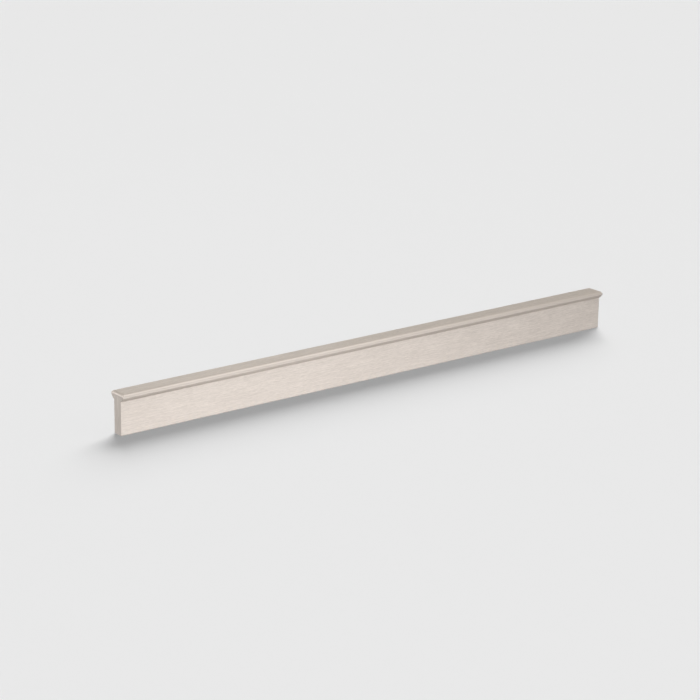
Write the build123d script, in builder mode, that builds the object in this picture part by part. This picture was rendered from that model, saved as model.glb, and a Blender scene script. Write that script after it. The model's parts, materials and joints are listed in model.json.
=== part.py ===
from build123d import *
import os

# Long one-piece cabinet pull, in millimetres: an upright blade that carries a moulded cap along
# its outer edge. It stands on the edge that screws to the cabinet, with its length along X.

# Blade
length = 350.0
blade_thickness = 6.4
blade_height = 19.2  # mounting edge up to the inner corner under the cap
edge_break = 0.3  # small chamfer round the mounting edge

# Cap
cap_height = 4.75  # inner corner up to the flat top
cap_overhang = 2.8  # reach of the nose beyond each blade face
top_round = 1.8  # round along all four top edges
nose_land = 0.25  # upright band between the top round and the underside
nose_round = 0.4  # blend from that band into the underside
underside_crown = 0.25  # rise of the underside's arc above a straight slope

# Blind holes tapped for M4 machine screws
hole_spacing = 320.0
thread_radius = 2.0
thread_depth = 12.0
mouth_chamfer = 0.35
drill_point_depth = 1.2

# Sizes that follow from the ones above
half_blade = blade_thickness / 2
half_cap = half_blade + cap_overhang
overall_height = blade_height + cap_height
nose_height = overall_height - top_round - nose_land
mount_plane = Plane(origin=(0, 0, 0), x_dir=(1, 0, 0), z_dir=(0, 0, -1))

with BuildPart() as pull:
    # Section: half of the blade, the cap's sloping underside and the cap, mirrored about the middle
    with BuildSketch(Plane.YZ):
        with BuildLine():
            blade_side = Polyline((0, 0), (half_blade, 0), (half_blade, blade_height))
            underside = SagittaArc(blade_side @ 1, (half_cap, nose_height), -underside_crown)
            Polyline(underside @ 1, (half_cap, overall_height), (0, overall_height))
            mirror(about=Plane.YZ)
        make_face()
    extrude(amount=length / 2, both=True)

    # The long edges, from the mounting edge up: blade corners, inner corners, noses, top
    long_edges = pull.edges().filter_by(Axis.X).group_by(Axis.Z)
    nose_edges = long_edges[2]
    fillet(nose_edges, radius=nose_round)
    fillet(pull.faces().sort_by(Axis.Z)[-1].edges(), radius=top_round)
    chamfer(pull.faces().sort_by(Axis.Z)[0].edges(), length=edge_break)

    # Screw holes in the mounting edge, each with a chamfered mouth and a drill point
    with Locations(mount_plane):
        with GridLocations(hole_spacing, 0, 2, 1):
            CounterSinkHole(
                radius=thread_radius,
                counter_sink_radius=thread_radius + mouth_chamfer,
                depth=thread_depth,
                counter_sink_angle=90,
            )
    with Locations(mount_plane.offset(-thread_depth)):
        with GridLocations(hole_spacing, 0, 2, 1):
            Cone(
                bottom_radius=0,
                top_radius=thread_radius,
                height=drill_point_depth,
                align=(Align.CENTER, Align.CENTER, Align.MAX),
                mode=Mode.SUBTRACT,
            )

pull.part.label = "pull"

os.makedirs("parts", exist_ok=True)
export_step(pull.part, "parts/pull.step")
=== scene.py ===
"""Dresses the one-piece cabinet pull: its fine mesh, its brushed nickel and a plain studio."""

import json
import logging
import math
from collections.abc import Iterator
from dataclasses import dataclass
from enum import Enum
from typing import Any, ClassVar

import bmesh
import bpy
from bmesh.types import BMEdge, BMesh, BMFace, BMVert
from mathutils import Matrix, Vector


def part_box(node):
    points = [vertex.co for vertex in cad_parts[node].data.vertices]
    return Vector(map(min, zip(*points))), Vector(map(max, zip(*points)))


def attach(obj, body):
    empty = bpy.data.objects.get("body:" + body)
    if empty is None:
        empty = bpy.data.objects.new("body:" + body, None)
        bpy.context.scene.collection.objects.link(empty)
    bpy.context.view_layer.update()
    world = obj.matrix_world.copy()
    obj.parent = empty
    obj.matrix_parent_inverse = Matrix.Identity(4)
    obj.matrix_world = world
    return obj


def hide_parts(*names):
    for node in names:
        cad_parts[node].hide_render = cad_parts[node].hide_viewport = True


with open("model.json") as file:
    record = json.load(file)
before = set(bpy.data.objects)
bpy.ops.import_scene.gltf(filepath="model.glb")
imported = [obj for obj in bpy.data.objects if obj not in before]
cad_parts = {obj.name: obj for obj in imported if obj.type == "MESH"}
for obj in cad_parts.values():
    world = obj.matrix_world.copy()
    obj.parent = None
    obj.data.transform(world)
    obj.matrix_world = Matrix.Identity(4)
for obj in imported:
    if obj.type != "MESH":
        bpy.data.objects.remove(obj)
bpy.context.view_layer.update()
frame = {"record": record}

MM = 0.001
NODE = "pull"
BRUSH_DEPTH = "brush_depth"  # name of each face's depth of brushing, from 0 to 1
MIDDLE = 0.5  # average of a noise, and the middle of a blend
WHITE = (1.0, 1.0, 1.0, 1.0)

Triple = tuple[float, float, float]
Colour = tuple[float, float, float, float]

log = logging.getLogger("cabinet_pull")


class Finish(Enum):
    """Places of the pull's finishes in its list of materials; new faces have the first."""

    LENGTHWISE = 0
    UPRIGHT = 1
    THREADED = 2


class Signal:
    """A number that varies over a surface; Python's operators on it add Math nodes."""

    def __init__(self, board: "NodeBoard", socket: bpy.types.NodeSocket) -> None:
        """Keeps the socket and the board that its nodes are on."""
        self.board = board
        self.socket = socket

    def _math(self, operation: str, left: "Signal | float", right: "Signal | float") -> "Signal":
        """Adds one Math node and wraps its result."""
        node = self.board.node("ShaderNodeMath", {"operation": operation}, {0: left, 1: right})
        return Signal(self.board, node.outputs[0])

    def __add__(self, other: "Signal | float") -> "Signal":
        """Sum."""
        return self._math("ADD", self, other)

    def __radd__(self, other: float) -> "Signal":
        """Sum, with the signal on the right."""
        return self._math("ADD", other, self)

    def __sub__(self, other: "Signal | float") -> "Signal":
        """Difference."""
        return self._math("SUBTRACT", self, other)

    def __rsub__(self, other: float) -> "Signal":
        """Difference, with the signal on the right."""
        return self._math("SUBTRACT", other, self)

    def __mul__(self, other: "Signal | float") -> "Signal":
        """Product."""
        return self._math("MULTIPLY", self, other)

    def __rmul__(self, other: float) -> "Signal":
        """Product, with the signal on the right."""
        return self._math("MULTIPLY", other, self)


class NodeBoard:
    """The node tree of one material or world, emptied and ready for its nodes."""

    def __init__(self, owner: bpy.types.Material | bpy.types.World) -> None:
        """Turns the owner's nodes on and empties its tree.

        Args:
            owner: The material or world.
        """
        owner.use_nodes = True
        self.tree = owner.node_tree
        self.tree.nodes.clear()

    def node(
        self, kind: str, settings: dict[str, Any], sockets: dict[int | str, Any]
    ) -> bpy.types.Node:
        """Adds one node.

        Args:
            kind: The node's type, such as ShaderNodeTexNoise.
            settings: The node's own properties, which are set first.
            sockets: Values or links of its inputs, by name, identifier or place.

        Returns:
            The new node.
        """
        node = self.tree.nodes.new(kind)
        for name, value in settings.items():
            setattr(node, name, value)
        for key, value in sockets.items():
            socket = self._socket(node.inputs, key)
            if isinstance(value, Signal):
                self.tree.links.new(value.socket, socket)
            elif isinstance(value, bpy.types.NodeSocket):
                self.tree.links.new(value, socket)
            else:
                socket.default_value = value
        return node

    @staticmethod
    def _socket(sockets: bpy.types.bpy_prop_collection, key: int | str) -> bpy.types.NodeSocket:
        """Finds a socket.

        Args:
            sockets: The inputs or outputs of a node.
            key: The socket's place, identifier or name.

        Returns:
            The socket.
        """
        if isinstance(key, int):
            return sockets[key]
        by_identifier = {socket.identifier: socket for socket in sockets}
        return by_identifier.get(key) or sockets[key]

    def signal(self, node: bpy.types.Node, output: str) -> Signal:
        """Wraps one output of a node."""
        return Signal(self, self._socket(node.outputs, output))

    def coordinates(self, output: str) -> bpy.types.NodeSocket:
        """Adds the texture coordinates of the given kind."""
        return self.node("ShaderNodeTexCoord", {}, {}).outputs[output]

    def noise(
        self, place: bpy.types.NodeSocket, cell: Triple, detail: float, rough: float
    ) -> Signal:
        """Adds a noise texture.

        Args:
            place: Where the texture is read, in metres.
            cell: Length, width and height of one cell of the noise, in metres.
            detail: Number of finer octaves.
            rough: Weight of each finer octave.

        Returns:
            The noise, about the middle on average.
        """
        scale = tuple(1.0 / size for size in cell)
        stretched = self.node("ShaderNodeMapping", {}, {"Vector": place, "Scale": scale})
        texture = self.node(
            "ShaderNodeTexNoise",
            {},
            {
                "Vector": stretched.outputs["Vector"],
                "Scale": 1.0,
                "Detail": detail,
                "Roughness": rough,
            },
        )
        return self.signal(texture, "Fac")

    def blend(self, share: Signal, first: Colour, second: Colour) -> bpy.types.NodeSocket:
        """Mixes two colours.

        Args:
            share: How much of the second colour shows, from 0 to 1.
            first: The colour at a share of 0.
            second: The colour at a share of 1.

        Returns:
            The mixed colour.
        """
        sockets = {"Factor_Float": share, "A_Color": first, "B_Color": second}
        mix = self.node("ShaderNodeMix", {"data_type": "RGBA"}, sockets)
        return self._socket(mix.outputs, "Result_Color")

    def ramp(self, value: Signal, start: float, end: float) -> Signal:
        """Follows a value from 0 at a start to 1 at an end, and stays within them."""
        sockets = {"Value": value, "From Min": start, "From Max": end}
        return self.signal(self.node("ShaderNodeMapRange", {}, sockets), "Result")

    def surface(self, sockets: dict[int | str, Any]) -> None:
        """Adds a material's Principled shader, with the given inputs, and its output."""
        shader = self.node("ShaderNodeBsdfPrincipled", {}, sockets)
        self.node("ShaderNodeOutputMaterial", {}, {"Surface": shader.outputs["BSDF"]})


def make_mesh(name: str, bm: BMesh) -> bpy.types.Mesh:
    """Turns a finished bmesh into a mesh.

    Args:
        name: The mesh's name.
        bm: The bmesh, which is freed.

    Returns:
        The mesh.
    """
    mesh = bpy.data.meshes.new(name)
    bm.to_mesh(mesh)
    bm.free()
    return mesh


def add_object(name: str, data: bpy.types.ID) -> bpy.types.Object:
    """Puts a mesh, lamp or camera into the scene.

    Args:
        name: The object's name.
        data: The mesh, lamp or camera.

    Returns:
        The new object, at the origin.
    """
    piece = bpy.data.objects.new(name, data)
    bpy.context.scene.collection.objects.link(piece)
    return piece


@dataclass(frozen=True)
class BrushedNickel:
    """Warm satin nickel with fine brush lines.

    Each cell is the length, width and height of one mark, in metres. Each pair of octaves is the
    detail and the roughness of the marks' noise, and each weight is its part in the colour.
    """

    name: str
    hairline_cell: Triple
    streak_cell: Triple
    cloud_cell: Triple
    hairline_octaves: tuple[float, float] = (2.0, 0.6)
    streak_octaves: tuple[float, float] = (3.0, 0.55)
    cloud_octaves: tuple[float, float] = (2.0, 0.5)
    hairline_weight: float = 1.35
    streak_weight: float = 1.45
    cloud_weight: float = 0.3
    dark: Colour = (0.538, 0.488, 0.449, 1.0)
    light: Colour = (0.737, 0.678, 0.633, 1.0)
    roughness: float = 0.6
    roughness_swing: float = 0.16
    line_depth: float = 0.006 * MM

    def material(self) -> bpy.types.Material:
        """Makes the finish's material.

        Returns:
            A metallic material whose colour, roughness and bump follow the brush lines.
        """
        material = bpy.data.materials.new(self.name)
        board = NodeBoard(material)
        place = board.coordinates("Object")
        hairline = board.noise(place, self.hairline_cell, *self.hairline_octaves)
        streak = board.noise(place, self.streak_cell, *self.streak_octaves)
        cloud = board.noise(place, self.cloud_cell, *self.cloud_octaves)
        brushing = board.node("ShaderNodeAttribute", {"attribute_name": BRUSH_DEPTH}, {})
        depth = board.signal(brushing, "Fac")
        lines = (hairline - MIDDLE) * self.hairline_weight + (streak - MIDDLE) * self.streak_weight
        tone = MIDDLE + depth * lines + (cloud - MIDDLE) * self.cloud_weight
        grooves = board.node(
            "ShaderNodeBump",
            {},
            {"Strength": 1.0, "Distance": self.line_depth, "Height": depth * (hairline + streak)},
        )
        board.surface(
            {
                "Base Color": board.blend(tone, self.dark, self.light),
                "Metallic": 1.0,
                "Roughness": self.roughness + depth * (streak - MIDDLE) * self.roughness_swing,
                "Normal": grooves.outputs["Normal"],
            }
        )
        return material


@dataclass(frozen=True)
class CutThread:
    """Bare bright metal of the tapped holes, with a slight dull film from the tap.

    The film's octaves are the detail and the roughness of its noise.
    """

    name: str
    bright: Colour = (0.60, 0.56, 0.52, 1.0)
    dull: Colour = (0.38, 0.35, 0.32, 1.0)
    film_cell: float = 1.1 * MM
    film_octaves: tuple[float, float] = (4.0, 0.6)
    bare_roughness: float = 0.22
    film_roughness: float = 0.3

    def material(self) -> bpy.types.Material:
        """Makes the finish's material.

        Returns:
            A metallic material with cloudy colour and roughness.
        """
        material = bpy.data.materials.new(self.name)
        board = NodeBoard(material)
        film = board.noise(board.coordinates("Object"), (self.film_cell,) * 3, *self.film_octaves)
        board.surface(
            {
                "Base Color": board.blend(film, self.bright, self.dull),
                "Metallic": 1.0,
                "Roughness": self.bare_roughness + film * self.film_roughness,
            }
        )
        return material


@dataclass
class CabinetPull:
    """The pull: an upright blade, a moulded cap along its outer edge and two tapped holes below.

    Overall sizes come from the frame; the others are the sizes of the section and of the holes,
    in metres.
    """

    length: float
    cap_width: float
    height: float
    hole_spacing: float
    thread_radius: float
    blade_thickness: float = 6.4 * MM
    blade_height: float = 19.2 * MM
    edge_break: float = 0.3 * MM
    top_round: float = 1.8 * MM
    nose_land: float = 0.25 * MM
    nose_round: float = 0.4 * MM
    underside_crown: float = 0.25 * MM
    arris_round: float = 0.15 * MM
    thread_depth: float = 12.0 * MM
    thread_pitch: float = 0.7 * MM
    thread_height: float = 0.38 * MM
    mouth_chamfer: float = 0.35 * MM
    drill_point_depth: float = 1.2 * MM

    # Steps of the mesh round each curve, or across each softened edge
    UNDERSIDE_STEPS: ClassVar[int] = 16
    NOSE_STEPS: ClassVar[int] = 5
    ROUND_STEPS: ClassVar[int] = 14
    ARRIS_STEPS: ClassVar[int] = 3
    CHAMFER_STEPS: ClassVar[int] = 1
    HOLE_STEPS: ClassVar[int] = 48
    THREAD_STEPS: ClassVar[int] = 32

    # Screw ridges and drill points
    THREAD_BITE: ClassVar[float] = 0.03 * MM  # how far a ridge is sunk into the hole's wall
    RIDGE_SHARE: ClassVar[float] = 0.45  # half the width of a ridge's foot, in pitches
    POINT_SHARE: ClassVar[float] = 0.02  # radius left at the drill point, in hole radii

    # Stands the unit triangle up on edge: its foot along Z from -1 to 1, its tip at X = -1
    TOOTH: ClassVar[Matrix] = Matrix(
        ((0, -2 / 3, 0, -1 / 3), (0, 0, 1, 0), (2 / math.sqrt(3), 0, 0, 0), (0, 0, 0, 1))
    )

    # Depths of brushing: full on the flats, slight on the moulding
    FULL_BRUSH: ClassVar[float] = 1.0
    SLIGHT_BRUSH: ClassVar[float] = 0.25

    # Limits that tell faces and edges apart, on the parts of a unit normal
    FLAT_PART: ClassVar[float] = 0.999  # a flat faces one axis by more
    END_PART: ClassVar[float] = 0.9  # an end, with its softened outline, faces X by more
    SIDE_PART: ClassVar[float] = 0.01  # a face along the length turns to X by less

    # How the mesh is joined and shaded
    WELD: ClassVar[float] = 1e-7  # points nearer than this are one
    SHARP_ANGLE: ClassVar[float] = math.radians(32)  # edges that turn more stay crisp
    FLAT_WEIGHT: ClassVar[int] = 100  # the largest face at a point sets its shading

    @classmethod
    def from_frame(cls, record: dict[str, Any]) -> "CabinetPull":
        """Takes the overall sizes from the frame.

        Args:
            record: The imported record, whose screw hole mount gives the holes.

        Returns:
            The pull at the frame's size.
        """
        low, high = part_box(NODE)
        mounts = {mount["name"]: mount for mount in record["mounts"]}
        holes = mounts["screw_holes"]["dims"]
        return cls(
            length=high.x - low.x,
            cap_width=high.y - low.y,
            height=high.z - low.z,
            hole_spacing=holes["spacing_x_mm"] * MM,
            thread_radius=holes["hole_r_mm"] * MM,
        )

    def build(self) -> bpy.types.Object:
        """Models the pull and dresses it.

        Returns:
            The finished piece, which stands for the CAD node.
        """
        bm = bmesh.new()
        self._blade_and_cap(bm)
        self._round_edges(bm)
        hole_places = (-self.hole_spacing / 2, self.hole_spacing / 2)
        self._drill(bm, hole_places)
        bmesh.ops.remove_doubles(bm, verts=bm.verts, dist=self.WELD)
        bmesh.ops.recalc_face_normals(bm, faces=bm.faces)
        self._sort_finishes(bm)
        for x in hole_places:
            self._thread(bm, x)
        self._sort_faces(bm)
        mesh = make_mesh("pull_body", bm)
        mesh.set_sharp_from_angle(angle=self.SHARP_ANGLE)
        piece = add_object("pull_body", mesh)
        self._dress(piece)
        piece.visible_diffuse = False  # the floor takes no warm tint from the metal
        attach(piece, "root")
        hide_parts(NODE)
        return piece

    def _section(self) -> Iterator[tuple[float, float]]:
        """Walks up the cap's outline from the inner corner.

        Yields:
            Half width and height of each level, up the underside, round the nose and to the top.
        """
        half_blade, half_cap = self.blade_thickness / 2, self.cap_width / 2
        foot = Vector((half_blade, self.blade_height))
        nose = Vector((half_cap, self.height - self.top_round - self.nose_land))
        chord = nose - foot
        radius = (chord.length_squared / 4 + self.underside_crown**2) / (2 * self.underside_crown)
        inward = Vector((-chord.y, chord.x)).normalized()
        centre = (foot + nose) / 2 + inward * (radius - self.underside_crown)
        across = half_cap - self.nose_round - centre.x
        rise = math.sqrt((radius - self.nose_round) ** 2 - across**2)
        nose_centre = centre + Vector((across, -rise if nose.y < centre.y else rise))
        start = math.atan2(foot.y - centre.y, foot.x - centre.x)
        meet = math.atan2(nose_centre.y - centre.y, nose_centre.x - centre.x)
        for step in range(1, self.UNDERSIDE_STEPS + 1):
            angle = start + (meet - start) * step / self.UNDERSIDE_STEPS
            yield centre.x + radius * math.cos(angle), centre.y + radius * math.sin(angle)
        for step in range(1, self.NOSE_STEPS + 1):
            angle = meet * (1 - step / self.NOSE_STEPS)
            yield (
                nose_centre.x + self.nose_round * math.cos(angle),
                nose_centre.y + self.nose_round * math.sin(angle),
            )
        yield half_cap, self.height

    @staticmethod
    def _level(face: BMFace) -> float:
        """Gives the height of a face's middle."""
        return face.calc_center_median().z

    def _blade_and_cap(self, bm: BMesh) -> None:
        """Makes the blade from a block, and raises the cap from its upper face, level by level.

        Args:
            bm: The empty mesh.
        """
        place = Matrix.LocRotScale(
            Vector((0, 0, self.blade_height / 2)),
            None,
            Vector((self.length, self.blade_thickness, self.blade_height)),
        )
        bmesh.ops.create_cube(bm, size=1.0, matrix=place)
        top = max(bm.faces, key=self._level)
        for half_width, height in self._section():
            (top,) = bmesh.ops.extrude_discrete_faces(bm, faces=[top])["faces"]
            for vert in top.verts:
                vert.co.y = math.copysign(half_width, vert.co.y)
                vert.co.z = height

    def _round_edges(self, bm: BMesh) -> None:
        """Rounds the four top edges, chamfers the mounting edge and softens the end outlines.

        Args:
            bm: The blade and the cap, with crisp edges.
        """
        bm.normal_update()
        top = max(bm.faces, key=self._level)
        self._bevel(bm, list(top.edges), self.top_round, self.ROUND_STEPS)
        bottom = min(bm.faces, key=self._level)
        self._bevel(bm, list(bottom.edges), self.edge_break, self.CHAMFER_STEPS)
        bm.normal_update()
        outline = [edge for edge in bm.edges if self._is_end_outline(edge)]
        self._bevel(bm, outline, self.arris_round, self.ARRIS_STEPS)

    def _is_end_outline(self, edge: BMEdge) -> bool:
        """Tells whether an edge lies between a flat end and a face along the length."""
        turns = sorted(abs(face.normal.x) for face in edge.link_faces)
        return len(turns) == 2 and turns[0] < self.SIDE_PART and turns[1] > self.FLAT_PART

    @staticmethod
    def _bevel(bm: BMesh, edges: list[BMEdge], offset: float, segments: int) -> None:
        """Rounds edges, or chamfers them with one segment.

        Args:
            bm: The mesh of the edges.
            edges: The edges.
            offset: Width of the round or chamfer on each side of an edge.
            segments: Number of steps across it.
        """
        bmesh.ops.bevel(
            bm,
            geom=edges,
            offset=offset,
            offset_type="OFFSET",
            segments=segments,
            profile=0.5,
            affect="EDGES",
            material=-1,
            clamp_overlap=True,
        )

    def _drill(self, bm: BMesh, places: tuple[float, ...]) -> None:
        """Drills the blind holes into the mounting edge.

        Args:
            bm: The pull so far, whose lowest face takes the holes.
            places: Places of the holes along the length.
        """
        flat = min(bm.faces, key=self._level)
        edges = list(flat.edges)
        bmesh.ops.delete(bm, geom=[flat], context="FACES_ONLY")
        rims = {x: self._rim(bm, x) for x in places}
        for rim in rims.values():
            edges += rim
        bmesh.ops.triangle_fill(bm, edges=edges, use_beauty=True)
        before = set(bm.faces)
        for x, rim in rims.items():
            self._sink(bm, x, rim)
        self._mark_new(bm, before, Finish.THREADED)

    def _rim(self, bm: BMesh, x: float) -> list[BMEdge]:
        """Draws the rim of one hole on the mounting edge.

        Args:
            bm: The pull so far.
            x: Place of the hole along the length.

        Returns:
            The rim's edges, each once.
        """
        verts = bmesh.ops.create_circle(
            bm,
            radius=self.thread_radius + self.mouth_chamfer,
            segments=self.HOLE_STEPS,
            matrix=Matrix.Translation((x, 0, 0)),
        )["verts"]
        return list(dict.fromkeys(edge for vert in verts for edge in vert.link_edges))

    def _sink(self, bm: BMesh, x: float, ring: list[BMEdge]) -> None:
        """Sinks one hole from its rim: the chamfered mouth, the wall and the drill point.

        Args:
            bm: The pull so far.
            x: Place of the hole along the length.
            ring: Edges of the hole's rim.
        """
        levels = (
            (self.thread_radius, self.mouth_chamfer),
            (self.thread_radius, self.thread_depth),
            (self.thread_radius * self.POINT_SHARE, self.thread_depth + self.drill_point_depth),
        )
        for radius, height in levels:
            grown = bmesh.ops.extrude_edge_only(bm, edges=ring)["geom"]
            ring = [item for item in grown if isinstance(item, BMEdge)]
            for vert in (item for item in grown if isinstance(item, BMVert)):
                out = Vector((vert.co.x - x, vert.co.y)).normalized() * radius
                vert.co = (x + out.x, out.y, height)
        bmesh.ops.contextual_create(bm, geom=ring)

    def _thread(self, bm: BMesh, x: float) -> None:
        """Winds one closed screw ridge along a hole's wall, a little short of both its ends.

        Args:
            bm: The pull so far.
            x: Place of the hole along the length.
        """
        turns = int((self.thread_depth - 2 * self.thread_pitch) / self.thread_pitch)
        wall = self.thread_radius + self.THREAD_BITE
        start = Matrix.Translation((x + wall, 0, self.mouth_chamfer + self.thread_pitch))
        half_foot = self.thread_pitch * self.RIDGE_SHARE
        size = Matrix.Diagonal((self.thread_height + self.THREAD_BITE, 1, half_foot, 1))
        before = set(bm.faces)
        profile = bmesh.ops.create_circle(
            bm, cap_ends=True, segments=3, radius=1.0, matrix=start @ size @ self.TOOTH
        )["verts"]
        bmesh.ops.spin(
            bm,
            geom=profile[0].link_faces[:],
            cent=(x, 0, 0),
            axis=(0, 0, 1),
            dvec=(0, 0, self.thread_pitch / self.THREAD_STEPS),
            angle=2 * math.pi * turns,
            steps=self.THREAD_STEPS * turns,
            use_merge=False,
            use_duplicate=False,
        )
        ridge = self._mark_new(bm, before, Finish.THREADED)
        bmesh.ops.recalc_face_normals(bm, faces=ridge)

    @staticmethod
    def _mark_new(bm: BMesh, before: set[BMFace], finish: Finish) -> list[BMFace]:
        """Gives a finish to the faces made since a step began.

        Args:
            bm: The pull so far.
            before: The faces that were there already.
            finish: The new faces' finish.

        Returns:
            The new faces.
        """
        made = [face for face in bm.faces if face not in before]
        for face in made:
            face.material_index = finish.value
        return made

    def _sort_finishes(self, bm: BMesh) -> None:
        """Gives the ends their upright finish, and each face its depth of brushing.

        Args:
            bm: The pull with its holes, before the screw ridges.
        """
        brush = bm.faces.layers.float.new(BRUSH_DEPTH)
        for face in bm.faces:
            face.smooth = True
            in_hole = face.material_index == Finish.THREADED.value
            if not in_hole and abs(face.normal.x) > self.END_PART:
                face.material_index = Finish.UPRIGHT.value
            is_flat = max(abs(part) for part in face.normal) > self.FLAT_PART
            face[brush] = self.FULL_BRUSH if is_flat else self.SLIGHT_BRUSH

    @staticmethod
    def _sort_faces(bm: BMesh) -> None:
        """Lists the faces by their vertices, as the operators' order changes from run to run.

        Args:
            bm: The finished pull.
        """
        bm.verts.index_update()
        listed = sorted(bm.faces, key=lambda face: [vert.index for vert in face.verts])
        places = {face: place for place, face in enumerate(listed)}
        bm.faces.sort(key=places.get)

    def _dress(self, piece: bpy.types.Object) -> None:
        """Gives the piece its materials, in the order of the finishes, and keeps its flats flat.

        Args:
            piece: The modelled pull.
        """
        finishes = {
            Finish.LENGTHWISE: BrushedNickel(
                "nickel_brushed_lengthwise",
                hairline_cell=(2.4 * MM, 0.28 * MM, 0.28 * MM),
                streak_cell=(16 * MM, 0.45 * MM, 0.45 * MM),
                cloud_cell=(24 * MM, 6 * MM, 6 * MM),
            ),
            Finish.UPRIGHT: BrushedNickel(
                "nickel_brushed_upright",
                hairline_cell=(0.3 * MM, 0.3 * MM, 5 * MM),
                streak_cell=(1.5 * MM, 1.5 * MM, 14 * MM),
                cloud_cell=(6 * MM, 6 * MM, 24 * MM),
            ),
            Finish.THREADED: CutThread("cut_thread"),
        }
        for finish in Finish:
            piece.data.materials.append(finishes[finish].material())
        weighted = piece.modifiers.new("flats", "WEIGHTED_NORMAL")
        weighted.keep_sharp = True
        weighted.weight = self.FLAT_WEIGHT


def hang_lamp(lamp: bpy.types.Light, towards: Vector) -> bpy.types.Object:
    """Puts a lamp into the scene, turned to shine one way.

    Args:
        lamp: The lamp.
        towards: The direction in which it shines.

    Returns:
        The lamp's object, at the origin.
    """
    piece = add_object(lamp.name, lamp)
    piece.rotation_mode = "QUATERNION"
    piece.rotation_quaternion = towards.to_track_quat("-Z", "Y")
    return piece


@dataclass(frozen=True)
class Softbox:
    """One rectangular studio lamp, seen by the metal alone so that the floor stays even.

    Place, aim and size are in metres, and the power is in watts.
    """

    name: str
    place: Triple
    aim: Triple
    size: tuple[float, float]
    power: float

    def build(self) -> bpy.types.Object:
        """Hangs the lamp.

        Returns:
            The lamp, turned to its aim.
        """
        lamp = bpy.data.lights.new(self.name, "AREA")
        lamp.shape = "RECTANGLE"
        lamp.size, lamp.size_y = self.size
        lamp.energy = self.power
        piece = hang_lamp(lamp, Vector(self.aim) - Vector(self.place))
        piece.location = self.place
        piece.visible_diffuse = False
        return piece


@dataclass(frozen=True)
class SkyPanel:
    """A wide soft light far off, which lays the shadow on the floor but isn't mirrored.

    Azimuth, elevation and spread are in degrees, and the strength in watts a square metre.
    """

    name: str
    azimuth: float
    elevation: float
    spread: float
    strength: float

    def build(self) -> bpy.types.Object:
        """Hangs the light.

        Returns:
            The light, turned to shine from its azimuth and elevation.
        """
        lamp = bpy.data.lights.new(self.name, "SUN")
        lamp.angle = math.radians(self.spread)
        lamp.energy = self.strength
        azimuth, elevation = math.radians(self.azimuth), math.radians(self.elevation)
        level = math.cos(elevation)
        source = Vector((level * math.cos(azimuth), level * math.sin(azimuth), math.sin(elevation)))
        piece = hang_lamp(lamp, -source)
        piece.visible_glossy = False
        return piece


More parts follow.
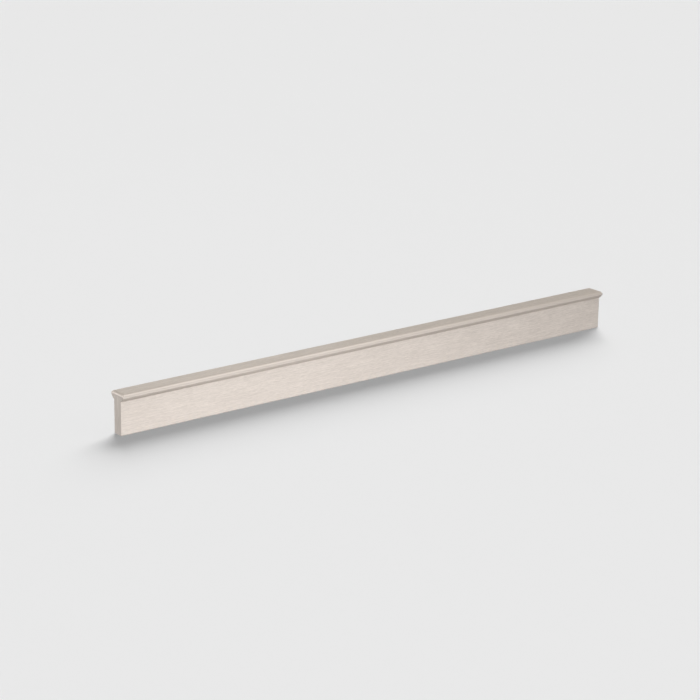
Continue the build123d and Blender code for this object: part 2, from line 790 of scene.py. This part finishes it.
@dataclass(frozen=True)
class Studio:
    """A plain pale floor, soft lamps, a pale surround and the camera at the photograph's view.

    Lengths are in metres, the camera's angles in degrees, its lens and sensor in millimetres.
    The surround climbs and dives over the upward part of a direction, from -1 to 1.
    """

    floor_size: float = 14.0
    floor_colour: Colour = (0.84, 0.84, 0.84, 1.0)
    floor_roughness: float = 0.9
    floor_gloss: float = 0.1
    room_light: float = 0.3
    horizon: float = 0.49
    zenith: float = 0.65
    nadir: float = 0.41
    climb_start: float = 0.0
    climb_end: float = 0.42
    dive_start: float = -0.45
    dive_end: float = -0.9
    outer_tint: Colour = (1.015, 0.992, 0.935, 1.0)
    yaw: float = 37.96
    pitch: float = 17.40
    roll: float = 0.83
    lens: float = 120.7
    sensor: float = 36.0
    distance: float = 1.3613
    aim_right: float = -0.01393
    aim_up: float = 0.01530

    LAMPS: ClassVar[tuple[Softbox | SkyPanel, ...]] = (
        Softbox(
            "front_strip",
            place=(0.15, -0.60, -0.17),
            aim=(-0.03, 0.0, 0.012),
            size=(0.5, 0.24),
            power=1.42,
        ),
        Softbox(
            "back_strip",
            place=(0.20, 0.60, -0.22),
            aim=(0.0, 0.0, 0.012),
            size=(0.5, 0.24),
            power=1.1,
        ),
        Softbox(
            "bead_glow",
            place=(0.10, -0.22, 0.38),
            aim=(-0.15, 0.0, 0.022),
            size=(0.18, 0.18),
            power=0.67,
        ),
        Softbox(
            "under_glow",
            place=(0.03, -0.12, -0.24),
            aim=(-0.14, 0.0, 0.020),
            size=(0.12, 0.12),
            power=0.10,
        ),
        Softbox(
            "top_glow",
            place=(0.22, 0.53, 0.23),
            aim=(-0.18, 0.0, 0.024),
            size=(0.2, 0.2),
            power=0.18,
        ),
        Softbox(
            "end_kicker",
            place=(-0.78, 0.75, 0.13),
            aim=(-0.17, 0.0, 0.02),
            size=(0.5, 0.4),
            power=2.3,
        ),
        SkyPanel("back_panel", azimuth=40.0, elevation=34.0, spread=46.0, strength=3.28),
        SkyPanel("front_panel", azimuth=-35.0, elevation=35.0, spread=50.0, strength=0.46),
    )

    def build(self) -> None:
        """Sets up the floor, the light, the camera and the plain view of colours."""
        self._floor()
        self._surround()
        for lamp in self.LAMPS:
            lamp.build()
        self._camera()
        bpy.context.scene.view_settings.view_transform = "Standard"

    def _floor(self) -> None:
        """Lays the floor under the mounting edge."""
        bm = bmesh.new()
        bmesh.ops.create_grid(bm, x_segments=1, y_segments=1, size=self.floor_size / 2)
        mesh = make_mesh("floor", bm)
        material = bpy.data.materials.new("pale_floor")
        NodeBoard(material).surface(
            {
                "Base Color": self.floor_colour,
                "Roughness": self.floor_roughness,
                "Specular IOR Level": self.floor_gloss,
            }
        )
        mesh.materials.append(material)
        floor = add_object("floor", mesh)
        floor.visible_glossy = False  # the metal mirrors the surround below the horizon instead
        floor.visible_shadow = False  # lamps set below floor level reach the metal

    def _surround(self) -> None:
        """Lights the room evenly, and shows the metal a pale surround.

        What the metal mirrors is brighter above the horizon than below it, and a little warmer
        away from it.
        """
        world = bpy.data.worlds.new("surround")
        board = NodeBoard(world)
        ray = board.node("ShaderNodeLightPath", {}, {})
        seen = (
            board.signal(ray, "Is Camera Ray")
            + board.signal(ray, "Is Glossy Ray")
            + board.signal(ray, "Is Transmission Ray")
        )
        direction = board.coordinates("Generated")
        parts = board.node("ShaderNodeSeparateXYZ", {}, {"Vector": direction})
        upward = board.signal(parts, "Z")
        climb = board.ramp(upward, self.climb_start, self.climb_end)
        dive = board.ramp(upward, self.dive_start, self.dive_end)
        rise, fall = self.zenith - self.horizon, self.nadir - self.horizon
        pale = self.horizon + climb * rise + dive * fall
        room = board.node(
            "ShaderNodeBackground",
            {},
            {
                "Color": board.blend(seen * (climb + dive), WHITE, self.outer_tint),
                "Strength": self.room_light + seen * (pale - self.room_light),
            },
        )
        board.node("ShaderNodeOutputWorld", {}, {"Surface": room.outputs["Background"]})
        bpy.context.scene.world = world

    def _camera(self) -> None:
        """Places the camera: turned and tilted round the origin, then shifted to its aim."""
        yaw, pitch, roll = (math.radians(angle) for angle in (self.yaw, self.pitch, self.roll))
        turn = Matrix.Rotation(-yaw, 3, "Z") @ Matrix.Rotation(math.pi / 2 - pitch, 3, "X")
        turn = turn @ Matrix.Rotation(roll, 3, "Z")
        right, up, back = turn.col
        data = bpy.data.cameras.new("photo_view")
        data.sensor_fit = "HORIZONTAL"
        data.sensor_width = self.sensor
        data.lens = self.lens
        camera = add_object("photo_view", data)
        place = right * self.aim_right + up * self.aim_up + back * self.distance
        camera.matrix_world = Matrix.Translation(place) @ turn.to_4x4()
        bpy.context.scene.camera = camera


def main() -> None:
    """Builds the pull and the studio, and reports each piece."""
    logging.basicConfig(level=logging.INFO, format="%(name)s: %(message)s")
    piece = CabinetPull.from_frame(frame["record"]).build()
    log.info("%s: %d faces", piece.name, len(piece.data.polygons))
    Studio().build()
    log.info("studio: %d lamps", len(Studio.LAMPS))


if __name__ == "__main__":
    main()
